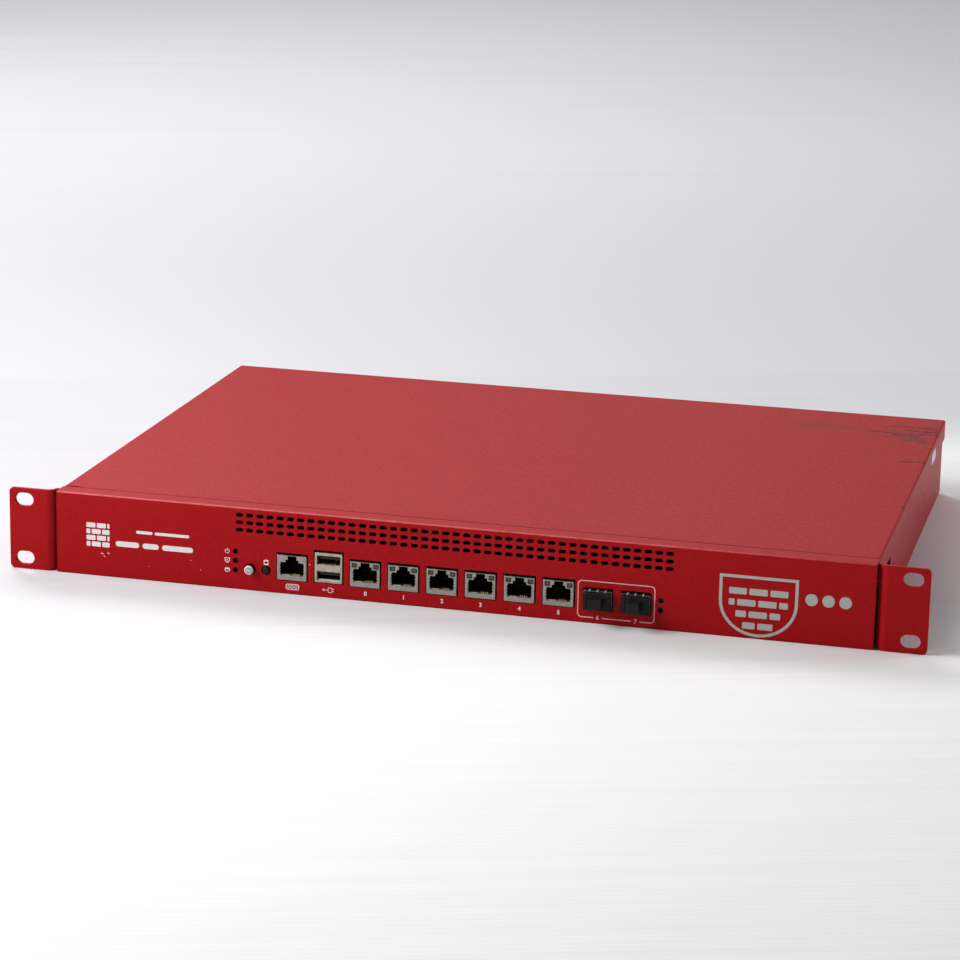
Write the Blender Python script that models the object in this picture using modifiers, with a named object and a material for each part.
"""Rack-mount firewall appliance, one rack unit high, built as an assembly of separate pieces.

Frame: +X is to the right seen from the front, +Y to the rear, +Z up. The origin is the centre
of the case's underside. Sizes are in millimetres, and become metres where a mesh is made.
"""

import math

import bmesh
import bpy
from mathutils import Matrix, Vector

MM = 0.001

# The case
CASE_WIDTH = 429.5
CASE_DEPTH = 305.0
CASE_HEIGHT = 44.0
COVER_SHEET = 0.8
BODY_SHEET = 1.2
BEND_RADIUS = 1.2
GAP = 0.3
SEAM = 0.5
LIP_DEPTH = 10.5
COVER_FLANGE = 11.0

FRONT = -CASE_DEPTH / 2
REAR = CASE_DEPTH / 2
SIDE = CASE_WIDTH / 2
COVER_UNDERSIDE = CASE_HEIGHT - COVER_SHEET
COVER_FRONT = FRONT + LIP_DEPTH + SEAM
FLANGE_FOOT = CASE_HEIGHT - COVER_FLANGE
WALL_OUTSIDE = SIDE - COVER_SHEET - GAP
WALL_INSIDE = WALL_OUTSIDE - BODY_SHEET
WALL_TOP = COVER_UNDERSIDE - 2 * GAP
PANEL_BACK = FRONT + BODY_SHEET
REAR_PANEL_OUTSIDE = REAR - COVER_SHEET - GAP
REAR_PANEL_INSIDE = REAR_PANEL_OUTSIDE - BODY_SHEET
FLOOR = BODY_SHEET

# Rack ears, to the 19-inch rack's hole spacing
EAR_SPAN = 482.0
EAR_SHEET = 2.0
EAR_BEND = 5.5
EAR_FLANGE_DEPTH = 40.0
EAR_FLANGE_TOP = 32.0
EAR_CORNER = 2.5
RACK_HOLE_SPAN = 465.1
RACK_HOLE_PITCH = 31.75
RACK_SLOT = (10.0, 7.0)
EAR_SCREW_PLACES = [(17.0, 9.0), (31.0, 22.0)]
EAR_PAD_RADIUS = 5.5

SCREW_HOLE = 1.8
# Slots in the right-hand wall: their span behind the front face, and Z
SIDE_SLOTS = [((43.0, 73.0), (25.0, 32.5)), ((215.5, 217.0), (19.5, 23.5))]

# The front panel's openings: X of the centre, and Z
VENT_COLUMNS = 42
VENT_PITCH = 5.5
VENT_ROWS = (32.0, 36.0, 40.0)
VENT_SIZE = (3.5, 1.8)
VENT_CENTRE = -1.0
JACK_SIZE = (16.1, 13.65)
JACK_BOTTOM = 7.4
JACK_DEPTH = 21.5
JACK_CAVITY = 14.0
# The jack's socket in steps from the plug's body up to its latch: width, and Z above the jack's foot
JACK_STEPS = ((12.4, 2.5, 9.2), (7.2, 8.7, 10.5), (4.8, 10.0, 12.6))
JACK_PITCH = 20.3
FIRST_PORT = -46.1
PORT_COUNT = 6
CONSOLE_X = -85.3
USB_X = -65.6
USB_SIZE = (14.95, 16.25)
USB_BOTTOM = 7.9
USB_DEPTH = 17.5
USB_SOCKET = (12.5, 4.8)
USB_SOCKET_BOTTOMS = (9.0, 17.4)
SFP_PLACES = {6: 75.8, 7: 95.2}
SFP_SIZE = (14.5, 9.9)
SFP_WALL = 0.5
SFP_DEPTH = 48.0
SFP_PROUD = 0.9
SFP_OPENING_MARGINS = (0.5, 0.5, 1.4)
PLUG_FLANGE = (14.3, 10.0, 1.5)
PLUG_HANDLE = (6.8, 5.1, 6.3)
PLUG_INSERT_DEPTH = 10.0
CUTOUT_GAP = 0.4
STATUS_LED_X = -115.9
STATUS_LED_HEIGHTS = (10.2, 15.25, 20.3)
SFP_LED_X = 107.8
SFP_LED_HEIGHTS = (10.1, 15.1)
LED_HOLE = 1.5
POWER_X = -107.9
RESET_X = -99.3
BUTTON_Z = 11.5
POWER_RADIUS = 2.35
POWER_PROUD = 3.0
RESET_RADIUS = 2.0
RESET_PROUD = 0.8
BUTTON_CLEARANCE = 0.5
BUTTON_STEM_END = 5.5
BUTTON_TRAVEL = 1.2

# The main board and what stands on it
BOARD_X = (-122.0, 114.0)
BOARD_Y = (FRONT + 4.0, 72.0)
BOARD_THICKNESS = 1.6
BOARD_TOP = 7.1
ON_BOARD = BOARD_TOP + GAP
PROCESSOR_X = -15.0
PROCESSOR_Y = -35.0
PROCESSOR_HEIGHT = 4.6
STANDOFFS = [(x, y) for x in (-114.0, -2.0, 88.0) for y in (-105.0, -2.0, 62.0)]
STANDOFF_RADIUS = 3.0

# The rear: fans, mains switch, mains inlet and power supply
FAN_SIDE = 40.0
FAN_DEPTH = 28.0
FAN_PLACES = (-60.0, -10.0, 40.0)
FAN_Z = 21.9
FAN_BORE_SHARE = 0.47
TIP_CLEARANCE = 0.8
ROTOR_HUB = 9.0
BLADES = 7
BLADE_PITCH = 32.0
BLADE_THICKNESS = 1.0
HEX_HOLE = 3.6
HEX_PITCH = 7.5
PSU_X = (125.5, 207.0)
PSU_LENGTH = 148.0
PSU_Z = (1.6, 42.0)
PSU_FAN_X = 148.0
PSU_SHEET = 1.0
PSU_FAN_SIDE = 37.6
PSU_FAN_DEPTH = 20.0
INLET_X = 186.5
INLET_Z = 20.0
INLET_SIZE = (27.2, 20.0)
INLET_CAVITY = (24.2, 16.4)
INLET_CORNER = 6.4
# The inlet's pins: across and up from its centre
INLET_PINS = ((-7.0, -2.0), (0.0, 2.0), (7.0, -2.0))
ROCKER_X = 96.0
ROCKER_Z = 21.0
ROCKER_FRAME = (21.0, 15.0)
ROCKER_WINDOW = (17.8, 11.6)
ROCKER_TILT = 11.0
ROCKER_PIVOT_DEPTH = 2.6
SWITCH_RIM = 1.6
COVER_SCREW_PLACES = (-196.0, 68.0, 200.0)
COVER_SCREW_Z = 38.5

PARTS = bpy.data.collections.new("firewall_appliance")
CUTTERS = bpy.data.collections.new("cutters")
MATERIALS = {
    "red_paint": ((0.42, 0.012, 0.018), 0.42, 0.0),
    "bare_steel": ((0.55, 0.55, 0.54), 0.38, 0.9),
    "jack_shield": ((0.52, 0.51, 0.47), 0.35, 0.9),
    "black_plastic": ((0.012, 0.012, 0.013), 0.5, 0.0),
    "white_plastic": ((0.72, 0.72, 0.70), 0.35, 0.0),
    "board_green": ((0.01, 0.09, 0.04), 0.45, 0.0),
    "aluminium": ((0.6, 0.61, 0.62), 0.35, 1.0),
    "black_screw": ((0.02, 0.02, 0.022), 0.4, 0.6),
    "smoked_lens": ((0.03, 0.03, 0.03), 0.15, 0.0),
}


def material(name):
    """The named material, made on first use."""
    found = bpy.data.materials.get(name)
    if found:
        return found
    colour, roughness, metallic = MATERIALS[name]
    made = bpy.data.materials.new(name)
    made.use_nodes = True
    shader = made.node_tree.nodes["Principled BSDF"]
    shader.inputs["Base Color"].default_value = (*colour, 1.0)
    shader.inputs["Roughness"].default_value = roughness
    shader.inputs["Metallic"].default_value = metallic
    return made


def add(name, shape, centre=(0, 0, 0), finish=None, turn=None):
    """An object from a bmesh in millimetres, at centre. With no finish it is a cutter or a helper."""
    bmesh.ops.scale(shape, vec=(MM,) * 3, verts=shape.verts)
    mesh = bpy.data.meshes.new(name)
    shape.to_mesh(mesh)
    shape.free()
    obj = bpy.data.objects.new(name, mesh)
    obj.location = Vector(centre) * MM
    if turn:
        obj.rotation_mode = "QUATERNION"
        obj.rotation_quaternion = turn
    if finish:
        mesh.materials.append(material(finish))
        PARTS.objects.link(obj)
    else:
        CUTTERS.objects.link(obj)
        obj.hide_render = True
        obj.display_type = "WIRE"
    return obj


def middle(span):
    return (span[0] + span[1]) / 2


def about(centre, size):
    """The span of this size around centre."""
    return (centre - size / 2, centre + size / 2)


def block_matrix(x, y, z):
    sides = [high - low for low, high in (x, y, z)]
    place = Matrix.Translation((middle(x), middle(y), middle(z)))
    return place @ Matrix.Diagonal((*sides, 1.0))


def round_bar(shape, radius, length, sides, matrix, end_radius=None):
    """Adds a closed cylinder or cone to shape, and returns what bmesh made."""
    return bmesh.ops.create_cone(
        shape,
        cap_ends=True,
        segments=sides,
        radius1=radius,
        radius2=end_radius or radius,
        depth=length,
        matrix=matrix,
    )


def blocks(name, spans, finish=None):
    """One object of several blocks, each given by its X, Y and Z spans."""
    shape = bmesh.new()
    for span in spans:
        bmesh.ops.create_cube(shape, size=1, matrix=block_matrix(*span))
    return add(name, shape, finish=finish)


def block(name, x, y, z, finish=None):
    """One block that fills the X, Y and Z spans, with its origin at its centre."""
    shape = bmesh.new()
    centre = Vector((middle(x), middle(y), middle(z)))
    bmesh.ops.create_cube(shape, size=1, matrix=Matrix.Translation(-centre) @ block_matrix(x, y, z))
    return add(name, shape, centre, finish)


def prisms(name, places, radius, y, sides, finish=None, widen=0.0):
    """Several prisms that run along Y, at X and Z places. widen moves their two halves apart along X."""
    shape = bmesh.new()
    along = Matrix.Rotation(math.radians(90), 4, "X") @ Matrix.Rotation(math.pi / sides, 4, "Z")
    for x, z in places:
        made = round_bar(shape, radius, y[1] - y[0], sides, along)
        for vertex in made["verts"]:
            vertex.co += Vector((x + math.copysign(widen, vertex.co.x), middle(y), z))
    return add(name, shape, finish=finish)


def turned(name, profile, origin, direction, finish=None, sides=24):
    """A solid of revolution. profile lists radius and distance along direction, front end first."""
    shape = bmesh.new()
    points = [shape.verts.new((radius, 0, -along)) for radius, along in profile]
    for first, second in zip(points, points[1:]):
        shape.edges.new((first, second))
    turn = (-Vector(direction)).to_track_quat("Z", "X")
    obj = add(name, shape, origin, finish, turn)
    screw = obj.modifiers.new("turn", "SCREW")
    screw.steps = sides
    screw.render_steps = sides
    screw.use_merge_vertices = True
    screw.merge_threshold = 0.00001
    screw.use_smooth_shade = True
    return obj


def folded_sheet(name, x, y, z, kept, thickness, bend, finish, corner_radius=0.0, corner_x=0.0):
    """A folded sheet: the faces of a box whose outward directions are in kept, with rounded bends.

    corner_radius rounds the sheet's own corners that lie at corner_x.
    """
    shape = bmesh.new()
    bmesh.ops.create_cube(shape, size=1, matrix=block_matrix(x, y, z))
    shape.normal_update()
    directions = [Vector(direction) for direction in kept]
    surplus = [f for f in shape.faces if not any(f.normal.dot(d) > 0.9 for d in directions)]
    bmesh.ops.delete(shape, geom=surplus, context="FACES")
    if corner_radius:
        corners = [v for v in shape.verts if abs(v.co.x - corner_x) < 0.01]
        bmesh.ops.bevel(
            shape, geom=corners, offset=corner_radius, segments=4, profile=0.5, affect="VERTICES"
        )
    obj = add(name, shape, finish=finish)
    rounding = obj.modifiers.new("bends", "BEVEL")
    rounding.width = bend * MM
    rounding.segments = 4 if bend > 2 else 2
    rounding.limit_method = "ANGLE"
    shell = obj.modifiers.new("sheet", "SOLIDIFY")
    shell.thickness = thickness * MM
    shell.offset = -1
    shell.use_even_offset = True
    return obj


def boolean(target, other, operation):
    modifier = target.modifiers.new(f"{operation.lower()}_{other.name}", "BOOLEAN")
    modifier.operation = operation
    modifier.solver = "EXACT"
    modifier.object = other


def cut(target, *cutters):
    for cutter in cutters:
        boolean(target, cutter, "DIFFERENCE")


def join(target, *others):
    for other in others:
        boolean(target, other, "UNION")


def hex_places(centre_x, centre_z, rings):
    """Centres of a honeycomb of holes, rings deep around its middle one."""
    places = []
    for column in range(-rings, rings + 1):
        count = 2 * rings + 1 - abs(column)
        for index in range(count):
            rise = (index - (count - 1) / 2) * HEX_PITCH
            places.append((centre_x + column * HEX_PITCH * math.sqrt(3) / 2, centre_z + rise))
    return places


def port_xs():
    return [FIRST_PORT + index * JACK_PITCH for index in range(PORT_COUNT)]


# ---- enclosure -------------------------------------------------------------------------------


def tray():
    """The base: a floor with two side walls, a low front flange, and standoffs pressed up from the floor."""
    base = folded_sheet(
        "chassis_tray",
        (-WALL_OUTSIDE, WALL_OUTSIDE),
        (PANEL_BACK + GAP, REAR_PANEL_OUTSIDE),
        (0.0, WALL_TOP),
        [(0, 0, -1), (1, 0, 0), (-1, 0, 0)],
        BODY_SHEET,
        BEND_RADIUS,
        "red_paint",
    )
    front_y = PANEL_BACK + GAP
    flange = block("tray_front_flange", about(0, 2 * WALL_INSIDE - 2), (front_y, front_y + 1), (0.2, 5.0))
    join(base, flange)
    bosses = bmesh.new()
    height = BOARD_TOP - BOARD_THICKNESS - GAP - FLOOR / 2
    for x, y in STANDOFFS:
        place = Matrix.Translation((x, y, FLOOR / 2 + height / 2))
        round_bar(bosses, STANDOFF_RADIUS + 0.8, height, 10, place, STANDOFF_RADIUS)
    join(base, add("tray_standoffs", bosses))
    for side, name in ((-1, "left"), (1, "right")):
        pad = tuple(sorted((side * (WALL_OUTSIDE - 0.5), side * SIDE)))
        join(base, side_rounds(f"tray_ear_pads_{name}", pad, EAR_PAD_RADIUS))
    cut(base, side_rounds("tray_screw_holes", (-SIDE - 5, SIDE + 5), SCREW_HOLE))
    across = (WALL_INSIDE - 3, WALL_OUTSIDE + 3)
    slots = [(across, (FRONT + y[0], FRONT + y[1]), z) for y, z in SIDE_SLOTS]
    cut(base, blocks("tray_side_slots", slots))


def side_rounds(name, x, radius):
    """Rounds along X at the ear screws' places, filling the span x."""
    shape = bmesh.new()
    along = Matrix.Rotation(math.radians(90), 4, "Y")
    for offset, z in EAR_SCREW_PLACES:
        place = Matrix.Translation((middle(x), FRONT + offset, z))
        round_bar(shape, radius, x[1] - x[0], 12, place @ along)
    return add(name, shape)


def front_panel():
    """The face plate, folded back at the top into a lip, with the vents and every connector's opening."""
    panel = folded_sheet(
        "front_panel",
        (-SIDE, SIDE),
        (FRONT, FRONT + LIP_DEPTH),
        (0.0, CASE_HEIGHT),
        [(0, -1, 0), (0, 0, 1)],
        BODY_SHEET,
        BEND_RADIUS,
        "red_paint",
    )
    through = (FRONT - 2, PANEL_BACK + 2)
    first_vent = VENT_CENTRE - (VENT_COLUMNS - 1) / 2 * VENT_PITCH
    openings = [
        (about(first_vent + column * VENT_PITCH, VENT_SIZE[0]), through, about(z, VENT_SIZE[1]))
        for column in range(VENT_COLUMNS)
        for z in VENT_ROWS
    ]
    grow = 2 * CUTOUT_GAP
    jack_z = about(JACK_BOTTOM + JACK_SIZE[1] / 2, JACK_SIZE[1] + grow)
    openings += [(about(x, JACK_SIZE[0] + grow), through, jack_z) for x in [CONSOLE_X, *port_xs()]]
    usb_z = about(USB_BOTTOM + USB_SIZE[1] / 2, USB_SIZE[1] + grow)
    openings.append((about(USB_X, USB_SIZE[0] + grow), through, usb_z))
    beside, below, above = SFP_OPENING_MARGINS
    sfp_z = (ON_BOARD - below, ON_BOARD + SFP_SIZE[1] + above)
    openings += [(about(x, SFP_SIZE[0] + 2 * beside), through, sfp_z) for x in SFP_PLACES.values()]
    leds = [(STATUS_LED_X, z) for z in STATUS_LED_HEIGHTS] + [(SFP_LED_X, z) for z in SFP_LED_HEIGHTS]
    cut(
        panel,
        blocks("panel_openings", openings),
        prisms("panel_led_holes", leds, LED_HOLE, through, 12),
        prisms("panel_power_hole", [(POWER_X, BUTTON_Z)], POWER_RADIUS + BUTTON_CLEARANCE, through, 20),
        prisms("panel_reset_hole", [(RESET_X, BUTTON_Z)], RESET_RADIUS + BUTTON_CLEARANCE, through, 20),
    )


def cover():
    """The top cover: a sheet folded down at both sides and at the rear, which slides on from behind."""
    top = folded_sheet(
        "top_cover",
        (-SIDE, SIDE),
        (COVER_FRONT, REAR),
        (FLANGE_FOOT, CASE_HEIGHT),
        [(0, 0, 1), (1, 0, 0), (-1, 0, 0), (0, 1, 0)],
        COVER_SHEET,
        BEND_RADIUS,
        "red_paint",
    )
    notch = block("cover_notch", (-SIDE - 1, -SIDE + 9.3), about(COVER_FRONT, 1.6), (40.0, 46.0))
    screws = [(x, COVER_SCREW_Z) for x in COVER_SCREW_PLACES]
    holes = prisms("cover_screw_holes", screws, SCREW_HOLE, (REAR - 3, REAR + 2), 12)
    cut(top, notch, holes)


def cover_ledge():
    """The strip across the front that the cover's front edge rests on, under the seam."""
    top = CASE_HEIGHT - BODY_SHEET - GAP
    width = 2 * (WALL_INSIDE - GAP)
    block("cover_ledge", about(0, width), (PANEL_BACK + 1.2, FRONT + 18.0), (top - 1.0, top), "bare_steel")


def rear_panel():
    """The back plate, with honeycomb grilles over the fans and openings for the mains switch and inlet."""
    panel = block(
        "rear_panel",
        about(0, 2 * (WALL_INSIDE - GAP)),
        (REAR_PANEL_INSIDE, REAR_PANEL_OUTSIDE),
        (FLOOR + GAP, WALL_TOP),
        "red_paint",
    )
    through = (REAR_PANEL_INSIDE - 2, REAR_PANEL_OUTSIDE + 2)
    grilles = [place for x in (*FAN_PLACES, PSU_FAN_X) for place in hex_places(x, FAN_Z, 2)]
    slots = [(about(-185.0 + 8.0 * index, 3.0), through, (10.0, 30.0)) for index in range(12)]
    inlet = (about(INLET_X, INLET_SIZE[0] + 2 * GAP), through, about(INLET_Z, INLET_SIZE[1] + 2 * GAP))
    switch = (about(ROCKER_X, ROCKER_FRAME[0] - 1.4), through, about(ROCKER_Z, ROCKER_FRAME[1] - 1.4))
    screws = [(x, COVER_SCREW_Z) for x in COVER_SCREW_PLACES]
    cut(
        panel,
        prisms("rear_grilles", grilles, HEX_HOLE, through, 6),
        blocks("rear_openings", [*slots, inlet, switch]),
        prisms("rear_screw_holes", screws, SCREW_HOLE, through, 12),
    )


def rack_ear(side, name):
    """One rack ear: a slotted plate in line with the front, bent back along the side (-1 or +1)."""
    ear = folded_sheet(
        f"rack_ear_{name}",
        tuple(sorted((side * (SIDE + GAP), side * EAR_SPAN / 2))),
        (FRONT, FRONT + EAR_FLANGE_DEPTH),
        (0.0, CASE_HEIGHT),
        [(0, -1, 0), (-side, 0, 0)],
        EAR_SHEET,
        EAR_BEND,
        "red_paint",
        EAR_CORNER,
        side * EAR_SPAN / 2,
    )
    slots = [
        (side * RACK_HOLE_SPAN / 2, CASE_HEIGHT / 2 + half * RACK_HOLE_PITCH / 2) for half in (-1, 1)
    ]
    across = tuple(sorted((side * (SIDE - 3), side * (SIDE + 5))))
    back_corner = (FRONT + EAR_BEND + 0.5, FRONT + EAR_FLANGE_DEPTH + 2)
    cut(
        ear,
        prisms(
            f"rack_slots_{name}", slots, RACK_SLOT[1] / 2, (FRONT - 3, FRONT + 5), 16,
            widen=(RACK_SLOT[0] - RACK_SLOT[1]) / 2,
        ),
        block(f"ear_relief_{name}", across, back_corner, (EAR_FLANGE_TOP, CASE_HEIGHT + 2)),
        side_rounds(f"ear_screw_holes_{name}", across, SCREW_HOLE),
    )


def pan_screw(name, head, direction, length):
    """A pan-head machine screw. head is the centre of its seat, and direction points along its shank."""
    profile = [(0, -1.9), (2.0, -1.75), (2.9, -0.9), (3.0, 0), (1.45, 0), (1.45, length), (0, length)]
    turned(name, profile, head, direction, "black_screw", sides=12)


def case_screws():
    for side, name in ((-1, "left"), (1, "right")):
        seat = side * (SIDE + EAR_SHEET + 2 * GAP)
        for number, (offset, z) in enumerate(EAR_SCREW_PLACES, 1):
            pan_screw(f"ear_screw_{name}_{number}", (seat, FRONT + offset, z), (-side, 0, 0), 6.0)
    for number, x in enumerate(COVER_SCREW_PLACES, 1):
        pan_screw(f"cover_screw_{number}", (x, REAR + GAP, COVER_SCREW_Z), (0, -1, 0), 5.0)


# ---- connectors, buttons and lamps on the front -----------------------------------------------


def network_jack(name, x):
    """A shielded network jack: a block with the stepped socket that takes the plug and its latch."""
    jack = block(
        name,
        about(x, JACK_SIZE[0]),
        (FRONT - 0.1, FRONT + JACK_DEPTH),
        (JACK_BOTTOM, JACK_BOTTOM + JACK_SIZE[1]),
        "jack_shield",
    )
    sockets = []
    for number, (width, bottom, top) in enumerate(JACK_STEPS):
        depth_y = (FRONT - 3.0 + 0.2 * number, FRONT + JACK_CAVITY - 0.2 * number)
        span_z = (JACK_BOTTOM + bottom, JACK_BOTTOM + top)
        sockets.append(block(f"{name}_step_{number}", about(x, width), depth_y, span_z))
    join(*sockets)
    cut(jack, sockets[0])


def usb_stack():
    """Two host sockets in one metal shell, each with its tongue along the top of the socket."""
    stack = block(
        "usb_stack",
        about(USB_X, USB_SIZE[0]),
        (FRONT - 0.1, FRONT + USB_DEPTH),
        (USB_BOTTOM, USB_BOTTOM + USB_SIZE[1]),
        "jack_shield",
    )
    width, height = USB_SOCKET
    for number, bottom in enumerate(USB_SOCKET_BOTTOMS, 1):
        top = bottom + height
        socket_y = (FRONT - 3, FRONT + 13)
        cut(stack, block(f"usb_socket_{number}", about(USB_X, width), socket_y, (bottom, top)))
        tongue_y = (FRONT + 2.5, FRONT + 14)
        tongue = block(f"usb_tongue_{number}", about(USB_X, width - 1.6), tongue_y, (top - 2.5, top - 0.9))
        join(stack, tongue)


def sfp_cage(number, x):
    """A transceiver cage: a thin square tube on the board, open at the front."""
    cage = block(
        f"sfp_cage_{number}",
        about(x, SFP_SIZE[0]),
        (FRONT - SFP_PROUD, FRONT + SFP_DEPTH),
        (ON_BOARD, ON_BOARD + SFP_SIZE[1]),
        "bare_steel",
    )
    inside = block(
        f"sfp_bay_{number}",
        about(x, SFP_SIZE[0] - 2 * SFP_WALL),
        (FRONT - 3, FRONT + SFP_DEPTH - SFP_WALL),
        (ON_BOARD + SFP_WALL, ON_BOARD + SFP_SIZE[1] - SFP_WALL),
    )
    cut(cage, inside)


def sfp_plug(number, x):
    """The dust plug that closes a cage: a flange, an insert and a pull handle."""
    centre_z = ON_BOARD + SFP_SIZE[1] / 2
    seat = FRONT - SFP_PROUD - GAP
    width, height, thickness = PLUG_FLANGE
    plug = block(
        f"sfp_plug_{number}",
        about(x, width),
        (seat - thickness, seat),
        about(centre_z, height),
        "black_plastic",
    )
    inner_gap = 2 * (SFP_WALL + GAP)
    insert = block(
        f"sfp_plug_insert_{number}",
        about(x, SFP_SIZE[0] - inner_gap),
        (seat - 0.5, seat + PLUG_INSERT_DEPTH),
        about(centre_z, SFP_SIZE[1] - inner_gap),
    )
    width, height, length = PLUG_HANDLE
    handle_y = (seat - thickness - length, seat - 0.7)
    handle = block(f"sfp_plug_handle_{number}", about(x, width), handle_y, about(centre_z, height))
    join(plug, insert, handle)


def push_button(name, x, radius, proud, collar, finish):
    """A push button: a domed cap through the panel, with a collar behind it that keeps it in."""
    front = FRONT - proud
    stem = FRONT + BUTTON_STEM_END
    collar_y = PANEL_BACK + GAP
    profile = [
        (0, 0),
        (radius - 0.4, 0.08),
        (radius, 0.5),
        (radius, collar_y - front),
        (collar, collar_y - front),
        (collar, collar_y - front + 1.0),
        (1.2, collar_y - front + 1.0),
        (1.2, stem - front),
        (0, stem - front),
    ]
    turned(name, profile, (x, front, BUTTON_Z), (0, 1, 0), finish, sides=20)


def switch_body(name, x):
    """The board-mounted switch that a button presses."""
    clear = FRONT + BUTTON_STEM_END + BUTTON_TRAVEL + GAP
    block(name, about(x, 6.0), (clear, clear + 6.0), (ON_BOARD, ON_BOARD + 7.5), "black_plastic")


def led_pipe(name, x, heights):
    """A lamp holder behind the panel, with one lens for each hole."""
    z = (ON_BOARD, max(heights) + 3.0)
    holder = block(name, about(x, 4.6), (PANEL_BACK + GAP, PANEL_BACK + 8.0), z, "smoked_lens")
    lens_y = (FRONT + 0.6, PANEL_BACK + 2.0)
    places = [(x, height) for height in heights]
    join(holder, prisms(f"{name}_lenses", places, LED_HOLE - GAP, lens_y, 12))


def front_devices():
    network_jack("console_jack", CONSOLE_X)
    for number, x in enumerate(port_xs()):
        network_jack(f"port_jack_{number}", x)
    usb_stack()
    for number, x in SFP_PLACES.items():
        sfp_cage(number, x)
        sfp_plug(number, x)
    push_button("power_button", POWER_X, POWER_RADIUS, POWER_PROUD, 3.3, "white_plastic")
    push_button("reset_button", RESET_X, RESET_RADIUS, RESET_PROUD, 2.9, "black_plastic")
    switch_body("power_switch", POWER_X)
    switch_body("reset_switch", RESET_X)
    led_pipe("status_led_pipe", STATUS_LED_X, STATUS_LED_HEIGHTS)
    led_pipe("sfp_led_pipe", SFP_LED_X, SFP_LED_HEIGHTS)


# ---- main board -------------------------------------------------------------------------------


def finned_block(name, x, y, z, base, fins):
    """A heat sink: a block with grooves along Y that leave a base and thin fins."""
    sink = block(name, x, y, z, "aluminium")
    pitch = (x[1] - x[0]) / fins
    fin = pitch * 0.3
    grooves = []
    for index in range(fins):
        start = x[0] + index * pitch + fin
        end = min(start + pitch - fin, x[1] - fin)
        grooves.append(((start, end), (y[0] - 1, y[1] + 1), (z[0] + base, z[1] + 1)))
    cut(sink, blocks(f"{name}_grooves", grooves))


def main_board():
    """The main board, with the processor, its heat sink, memory, storage and power connector."""
    board_z = (BOARD_TOP - BOARD_THICKNESS, BOARD_TOP)
    block("motherboard", BOARD_X, BOARD_Y, board_z, "board_green")
    processor()
    sink_z = (ON_BOARD + PROCESSOR_HEIGHT + GAP, 39.5)
    finned_block("processor_heatsink", about(PROCESSOR_X, 90.0), about(PROCESSOR_Y, 80.0), sink_z, 5.0, 22)
    finned_block("chipset_heatsink", about(-92.0, 36.0), about(-92.0, 36.0), (ON_BOARD, 20.0), 3.0, 9)
    for number, x in enumerate((56.0, 67.0), 1):
        memory(number, x)
    storage_card()
    cell = [(0, 0), (9.4, 0), (10, 0.6), (10, 3.2), (0, 3.2)]
    turned("clock_battery", cell, (-90, 45, ON_BOARD + 3.2), (0, 0, -1), "bare_steel")
    connector_y = about(6.0, 51.6)
    block("board_power_connector", about(101.0, 9.6), connector_y, (ON_BOARD, 20.0), "white_plastic")


def processor():
    """The processor in its socket, with the metal lid that the heat sink rests on."""
    body = (ON_BOARD, ON_BOARD + 3.2)
    lid = (ON_BOARD + 2, ON_BOARD + PROCESSOR_HEIGHT)
    socket = block("processor", about(PROCESSOR_X, 42.0), about(PROCESSOR_Y, 42.0), body, "black_plastic")
    join(socket, block("processor_lid", about(PROCESSOR_X, 34.0), about(PROCESSOR_Y, 34.0), lid))


def memory(number, x):
    """A memory socket along Y, with end latches, and the module that stands in it."""
    y = (-88.0, 53.0)
    top = ON_BOARD + 6.5
    socket = block(f"memory_socket_{number}", about(x, 6.4), y, (ON_BOARD, top), "black_plastic")
    latch_z = (ON_BOARD + 2, ON_BOARD + 17.0)
    latches = [(about(x, 5.0), (end, end + 4.0), latch_z) for end in (y[0] + 0.5, y[1] - 4.5)]
    join(socket, blocks(f"memory_latches_{number}", latches))
    slot_z = (ON_BOARD + 2.2, top + 20)
    cut(socket, block(f"memory_slot_{number}", about(x, 2.0), (y[0] + 2.0, y[1] - 2.0), slot_z))
    module_y = (y[0] + 2.4, y[1] - 2.4)
    module_z = (ON_BOARD + 2.5, ON_BOARD + 32.0)
    block(f"memory_module_{number}", about(x, 1.3), module_y, module_z, "board_green")


def storage_card():
    """The flash storage card, flat above the board on its edge connector and a post."""
    card_y = about(-30.0, 50.8)
    card = block("storage_card", about(-92.0, 30.0), card_y, (13.0, 14.4), "board_green")
    edge = block("storage_connector", about(-92.0, 30.0), (card_y[0], card_y[0] + 6), (ON_BOARD, 13.5))
    post = block("storage_post", about(-92.0, 5.0), (card_y[1] - 5, card_y[1]), (ON_BOARD, 13.5))
    join(card, edge, post)


def smooth_route(points, steps):
    """Points along a Catmull-Rom curve through the given ones."""
    knots = [Vector(p) for p in (points[0], *points, points[-1])]
    route = []
    for a, b, c, d in zip(knots, knots[1:], knots[2:], knots[3:]):
        for step in range(steps):
            t = step / steps
            bend = (2 * a - 5 * b + 4 * c - d) * t**2 + (3 * b - a - 3 * c + d) * t**3
            route.append(b + 0.5 * ((c - a) * t + bend))
    return [*route, knots[-1]]


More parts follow.
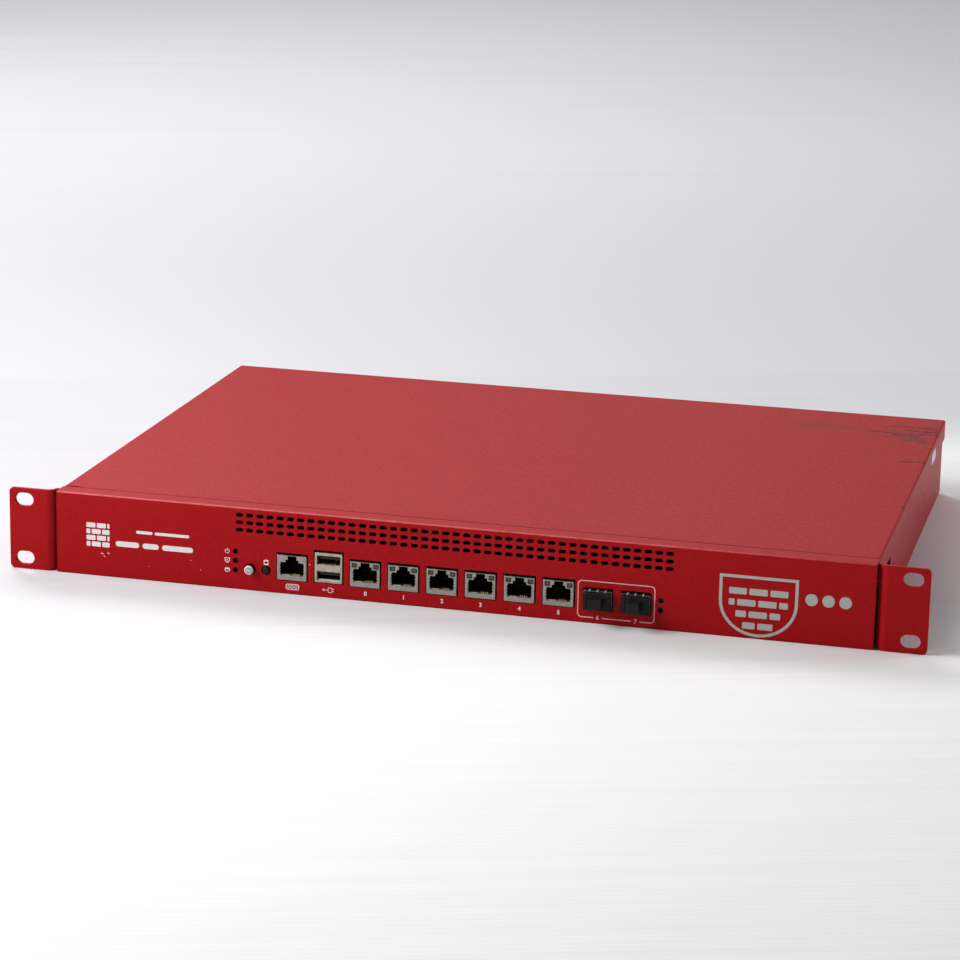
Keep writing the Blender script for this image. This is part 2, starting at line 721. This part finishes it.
def power_harness():
    """The sleeved bundle of wires from the power supply to the main board."""
    psu_front = REAR_PANEL_INSIDE - GAP - PSU_LENGTH
    route = smooth_route(
        [
            (150.0, psu_front - 2 * GAP, 22.0),
            (150.0, psu_front - 4.0, 22.0),
            (150.0, psu_front - 8.0, 22.0),
            (145.0, -24.0, 22.5),
            (131.0, -31.0, 25.0),
            (115.0, -24.0, 31.0),
            (104.5, -9.0, 35.0),
            (101.0, 3.0, 31.5),
            (101.0, 6.0, 26.5),
            (101.0, 6.0, 23.5),
            (101.0, 6.0, 20.0 + 2 * GAP),
        ],
        3,
    )
    curve = bpy.data.curves.new("power_harness", "CURVE")
    curve.dimensions = "3D"
    curve.bevel_depth = 3.6 * MM
    curve.bevel_resolution = 2
    curve.use_fill_caps = True
    spline = curve.splines.new("POLY")
    spline.points.add(len(route) - 1)
    for point, place in zip(spline.points, route):
        point.co = (*(place * MM), 1)
    curve.materials.append(material("black_plastic"))
    PARTS.objects.link(bpy.data.objects.new("power_harness", curve))


# ---- rear: fans, switch, inlet and power supply -----------------------------------------------


def fan(frame_name, rotor_name, x, y, size):
    """An axial fan with its axis along Y: a square frame with a motor mount on spokes, and a bladed rotor."""
    bore = size * FAN_BORE_SHARE
    frame = block(frame_name, about(x, size), y, about(FAN_Z, size), "black_plastic")
    cut(frame, prisms(f"{frame_name}_bore", [(x, FAN_Z)], bore, (y[0] - 1, y[1] + 1), 28))
    spokes = [
        (about(x, 2 * bore + 0.8), (y[1] - 3.0, y[1] - 0.8), about(FAN_Z, 2.4)),
        (about(x, 2.4), (y[1] - 2.8, y[1] - 1.0), about(FAN_Z, 2 * bore + 0.8)),
    ]
    for number, spoke in enumerate(spokes, 1):
        join(frame, block(f"{frame_name}_spoke_{number}", *spoke))
    join(frame, prisms(f"{frame_name}_motor", [(x, FAN_Z)], ROTOR_HUB, (y[1] - 4.5, y[1] - 0.5), 16))
    rotor(rotor_name, x, (y[0] + 1.5, y[1] - 4.5 - GAP), bore - TIP_CLEARANCE)


def rotor(name, x, y, tip):
    """The fan's turning part: a hub with pitched blades, with its origin on the axis."""
    depth = y[1] - y[0]
    centre = Vector((x, middle(y), FAN_Z))
    along = Matrix.Rotation(math.radians(90), 4, "X")
    hub_shape = bmesh.new()
    round_bar(hub_shape, ROTOR_HUB, depth, 20, along)
    hub = add(name, hub_shape, centre, "black_plastic")
    root = ROTOR_HUB - 1.5
    chord = depth * 0.85
    pitch_angle = math.radians(BLADE_PITCH)
    half_width = chord / 2 * math.sin(pitch_angle) + BLADE_THICKNESS
    reach = math.sqrt(tip**2 - half_width**2)
    for index in range(BLADES):
        blade = bmesh.new()
        around = Matrix.Rotation(2 * math.pi * index / BLADES, 4, "Y")
        outward = Matrix.Translation(((root + reach) / 2, 0, 0))
        pitch = Matrix.Rotation(pitch_angle, 4, "X")
        size = Matrix.Diagonal((reach - root, chord, BLADE_THICKNESS, 1.0))
        bmesh.ops.create_cube(blade, size=1, matrix=around @ outward @ pitch @ size)
        join(hub, add(f"{name}_blade_{index + 1}", blade, centre))


def mains_inlet():
    """The mains inlet: a body whose socket, with two cut corners, holds three flat pins."""
    face = REAR_PANEL_OUTSIDE + 1.0
    body_y = (REAR_PANEL_INSIDE - 20.0, face)
    body_z = about(INLET_Z, INLET_SIZE[1])
    body = block("mains_inlet", about(INLET_X, INLET_SIZE[0]), body_y, body_z, "black_plastic")
    socket_y = (face - 16.0, face + 2.0)
    width, height = INLET_CAVITY
    socket = block("inlet_socket", about(INLET_X, width), socket_y, about(INLET_Z, height))
    for side, name in ((-1, "left"), (1, "right")):
        wedge = bmesh.new()
        square = Matrix.Diagonal((INLET_CORNER, 2 * INLET_CORNER + 30, INLET_CORNER, 1.0))
        bmesh.ops.create_cube(wedge, size=1, matrix=Matrix.Rotation(math.radians(45), 4, "Y") @ square)
        centre = (INLET_X + side * width / 2, middle(socket_y), INLET_Z + height / 2)
        cut(socket, add(f"inlet_corner_{name}", wedge, centre))
    cut(body, socket)
    pins = []
    for across, up in INLET_PINS:
        pins.append((about(INLET_X + across, 2.0), (face - 18.0, face - 5.0), about(INLET_Z + up, 4.0)))
    join(body, blocks("inlet_pins", pins))


def mains_switch():
    """The rocker switch: a snap-in frame with its body behind the panel, and the rocker tilted to off."""
    face = REAR_PANEL_OUTSIDE + GAP
    frame_x = about(ROCKER_X, ROCKER_FRAME[0])
    frame_z = about(ROCKER_Z, ROCKER_FRAME[1])
    housing = block("switch_housing", frame_x, (face, face + SWITCH_RIM), frame_z, "black_plastic")
    body_x = about(ROCKER_X, ROCKER_FRAME[0] - 2)
    body_z = about(ROCKER_Z, ROCKER_FRAME[1] - 2)
    join(housing, block("switch_body", body_x, (face - 14.0, face + 0.5), body_z))
    window_x = about(ROCKER_X, ROCKER_WINDOW[0])
    window_z = about(ROCKER_Z, ROCKER_WINDOW[1])
    cut(housing, block("switch_window", window_x, (face - 8.0, face + 5.0), window_z))
    shape = bmesh.new()
    length = about(0, ROCKER_WINDOW[0] - 1.6)
    height = about(0, ROCKER_WINDOW[1] - 0.8)
    bmesh.ops.create_cube(shape, size=1, matrix=block_matrix(length, (-3.0, 3.2), height))
    upright = [e for e in shape.edges if abs(e.verts[0].co.z - e.verts[1].co.z) > 1]
    bmesh.ops.bevel(shape, geom=upright, offset=0.8, segments=2, profile=0.5, affect="EDGES")
    pivot = (ROCKER_X, face + SWITCH_RIM - ROCKER_PIVOT_DEPTH, ROCKER_Z)
    rocker = add("mains_rocker", shape, pivot, "black_plastic")
    rocker.rotation_euler = (0, 0, math.radians(-ROCKER_TILT))


def power_supply():
    """The power supply: a vented metal case, with a fan at its rear behind the honeycomb."""
    back = REAR_PANEL_INSIDE - GAP
    front = back - PSU_LENGTH
    case = block("psu_case", PSU_X, (front, back), PSU_Z, "bare_steel")
    inside_x = (PSU_X[0] + PSU_SHEET, PSU_X[1] - PSU_SHEET)
    inside_z = (PSU_Z[0] + PSU_SHEET, PSU_Z[1] - PSU_SHEET)
    hollow = block("psu_inside", inside_x, (front + PSU_SHEET, back + 2), inside_z)
    front_slots = [(about(135.0 + 6.0 * n, 3.0), about(front, 5.0), (8.0, 17.0)) for n in range(11)]
    side_slots = [(about(PSU_X[0], 5.0), about(front + 20.0 + 7.0 * n, 3.5), (10.0, 34.0)) for n in range(9)]
    cut(case, hollow, blocks("psu_vents", front_slots + side_slots))
    fan_y = (back - PSU_FAN_DEPTH - 0.5, back - 0.5)
    fan("psu_fan_frame", "psu_fan_rotor", PSU_FAN_X, fan_y, PSU_FAN_SIDE)
    board_x = (inside_x[0] + 2, inside_x[1] - 2)
    board = block("psu_board", board_x, (front + 4.0, back - 28.0), (6.0, 7.6), "board_green")
    cores = [
        (about(150.0, 30.0), about(40.0, 26.0), (7.0, 33.0)),
        (about(190.0, 22.0), about(85.0, 30.0), (7.0, 30.0)),
        (about(152.0, 16.0), about(90.0, 16.0), (7.0, 26.0)),
    ]
    join(board, blocks("psu_wound_parts", cores))


def rear_devices():
    for number, x in enumerate(FAN_PLACES, 1):
        y = (REAR_PANEL_INSIDE - GAP - FAN_DEPTH, REAR_PANEL_INSIDE - GAP)
        fan(f"fan_frame_{number}", f"fan_rotor_{number}", x, y, FAN_SIDE)
    power_supply()
    mains_inlet()
    mains_switch()


def main():
    for obj in list(bpy.data.objects):
        bpy.data.objects.remove(obj)
    for collection in (PARTS, CUTTERS):
        bpy.context.scene.collection.children.link(collection)
    tray()
    front_panel()
    cover()
    cover_ledge()
    rear_panel()
    rack_ear(-1, "left")
    rack_ear(1, "right")
    case_screws()
    front_devices()
    main_board()
    power_harness()
    rear_devices()


main()
